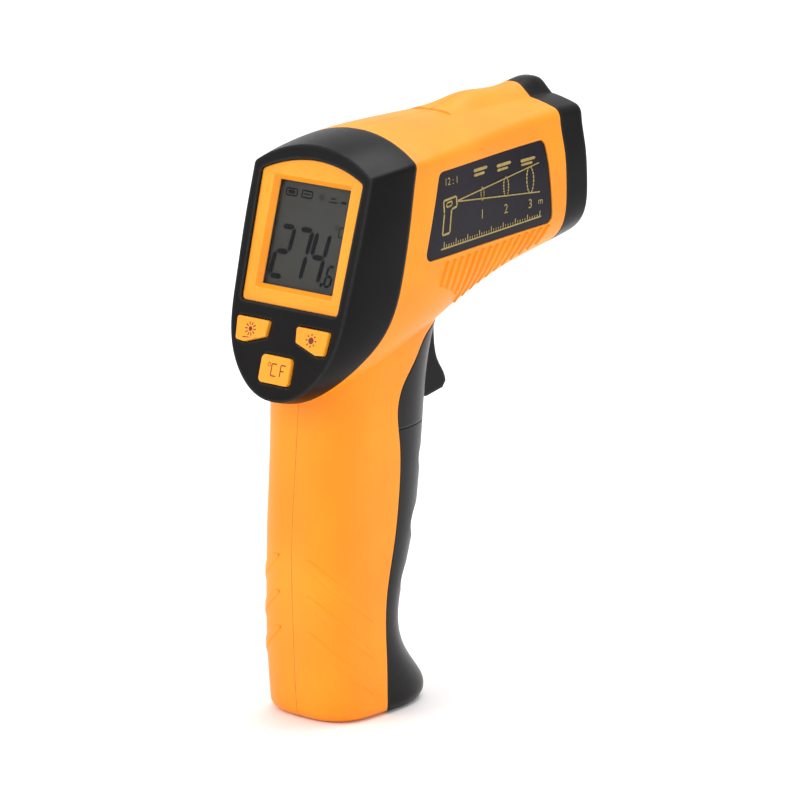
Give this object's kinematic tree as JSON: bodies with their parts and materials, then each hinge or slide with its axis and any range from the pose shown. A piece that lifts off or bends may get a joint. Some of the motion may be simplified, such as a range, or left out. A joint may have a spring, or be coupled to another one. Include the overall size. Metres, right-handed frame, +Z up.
{
  "type": "infrared thermometer",
  "caption": "Pistol-shaped hand-held infrared thermometer with a display hood, a trigger, three buttons and a battery door in the grip",
  "frame": {"origin": "under the middle of the object's box, at the height of the flat foot", "axes": "+Z up along the grip, +Y towards the nose and its lens, +X to the user's right"},
  "size_m": [0.0436, 0.1, 0.1532],
  "materials": {
    "orange_shell": "fine moulded texture",
    "orange_frame": "satin",
    "black_shell": "satin black",
    "black_trigger": "satin black",
    "window": "clear",
    "lcd": "grey liquid crystal",
    "white_plastic": "diffusing",
    "rubber": "matt",
    "board": "solder mask",
    "chip": "moulded epoxy",
    "steel": "plain",
    "spring_steel": "nickel plated",
    "brass": "turned",
    "lens": "dark infrared lens",
    "laser_lens": "clear",
    "label": "printed film",
    "tray": "moulded",
    "cell_can": "plain sleeve"
  },
  "bodies": {
    "case": {"right_body_shell": "orange_shell", "left_body_shell": "orange_shell", "case_screws": "steel", "rear_bezel": "black_shell", "display_frame": "orange_frame", "display_window": "window", "lcd_glass": "lcd", "backlight_panel": "white_plastic", "zebra_strip": "rubber", "main_board": "board", "board_screws": "steel", "main_chip": "chip", "buzzer": "chip", "button_switches": "chip", "nose_ring": "black_shell", "sensor_barrel": "tray", "infrared_lens": "lens", "thermopile_sensor": "steel", "sensor_board": "board", "laser_module": "brass", "laser_lens": "laser_lens", "laser_holder": "tray", "right_label": "label", "left_label": "label", "trigger_frame": "black_shell", "trigger_pin": "steel", "trigger_board": "board", "trigger_switch": "chip", "trigger_spring": "spring_steel", "door_hinge_pin": "steel", "battery_tray": "tray", "right_cell": "cell_can", "left_cell": "cell_can", "cell_contacts": "spring_steel", "cell_springs": "spring_steel"},
    "laser_key": {"laser_button": "orange_frame"},
    "backlight_key": {"backlight_button": "orange_frame"},
    "unit_key": {"unit_button": "orange_frame"},
    "trigger": {"trigger": "black_trigger"},
    "door": {"battery_door": "black_shell"}
  },
  "joints": [
    {"name": "laser_button_press", "type": "slide", "parent": "case", "child": "laser_key", "axis": [0, 0.9636, -0.2672], "range_m": [0, 0.0007], "stiffness_N_per_m": 900, "springref_m": -0.0006},
    {"name": "backlight_button_press", "type": "slide", "parent": "case", "child": "backlight_key", "axis": [0, 0.9636, -0.2672], "range_m": [0, 0.0007], "stiffness_N_per_m": 900, "springref_m": -0.0006},
    {"name": "unit_button_press", "type": "slide", "parent": "case", "child": "unit_key", "axis": [0, 0.9636, -0.2672], "range_m": [0, 0.0007], "stiffness_N_per_m": 900, "springref_m": -0.0006},
    {"name": "trigger_pull", "type": "hinge", "parent": "case", "child": "trigger", "pos_m": [0, -0.0015, 0.0965], "axis": [-1, 0, 0], "range_deg": [0, 8], "stiffness_Nm_per_rad": 0.35, "springref_deg": -6.88, "deforming": ["trigger_spring"]},
    {"name": "door_swing", "type": "hinge", "parent": "case", "child": "door", "pos_m": [0, -0.0208, 0.0028], "axis": [-1, 0, 0], "range_deg": [0, 60]}
  ]
}
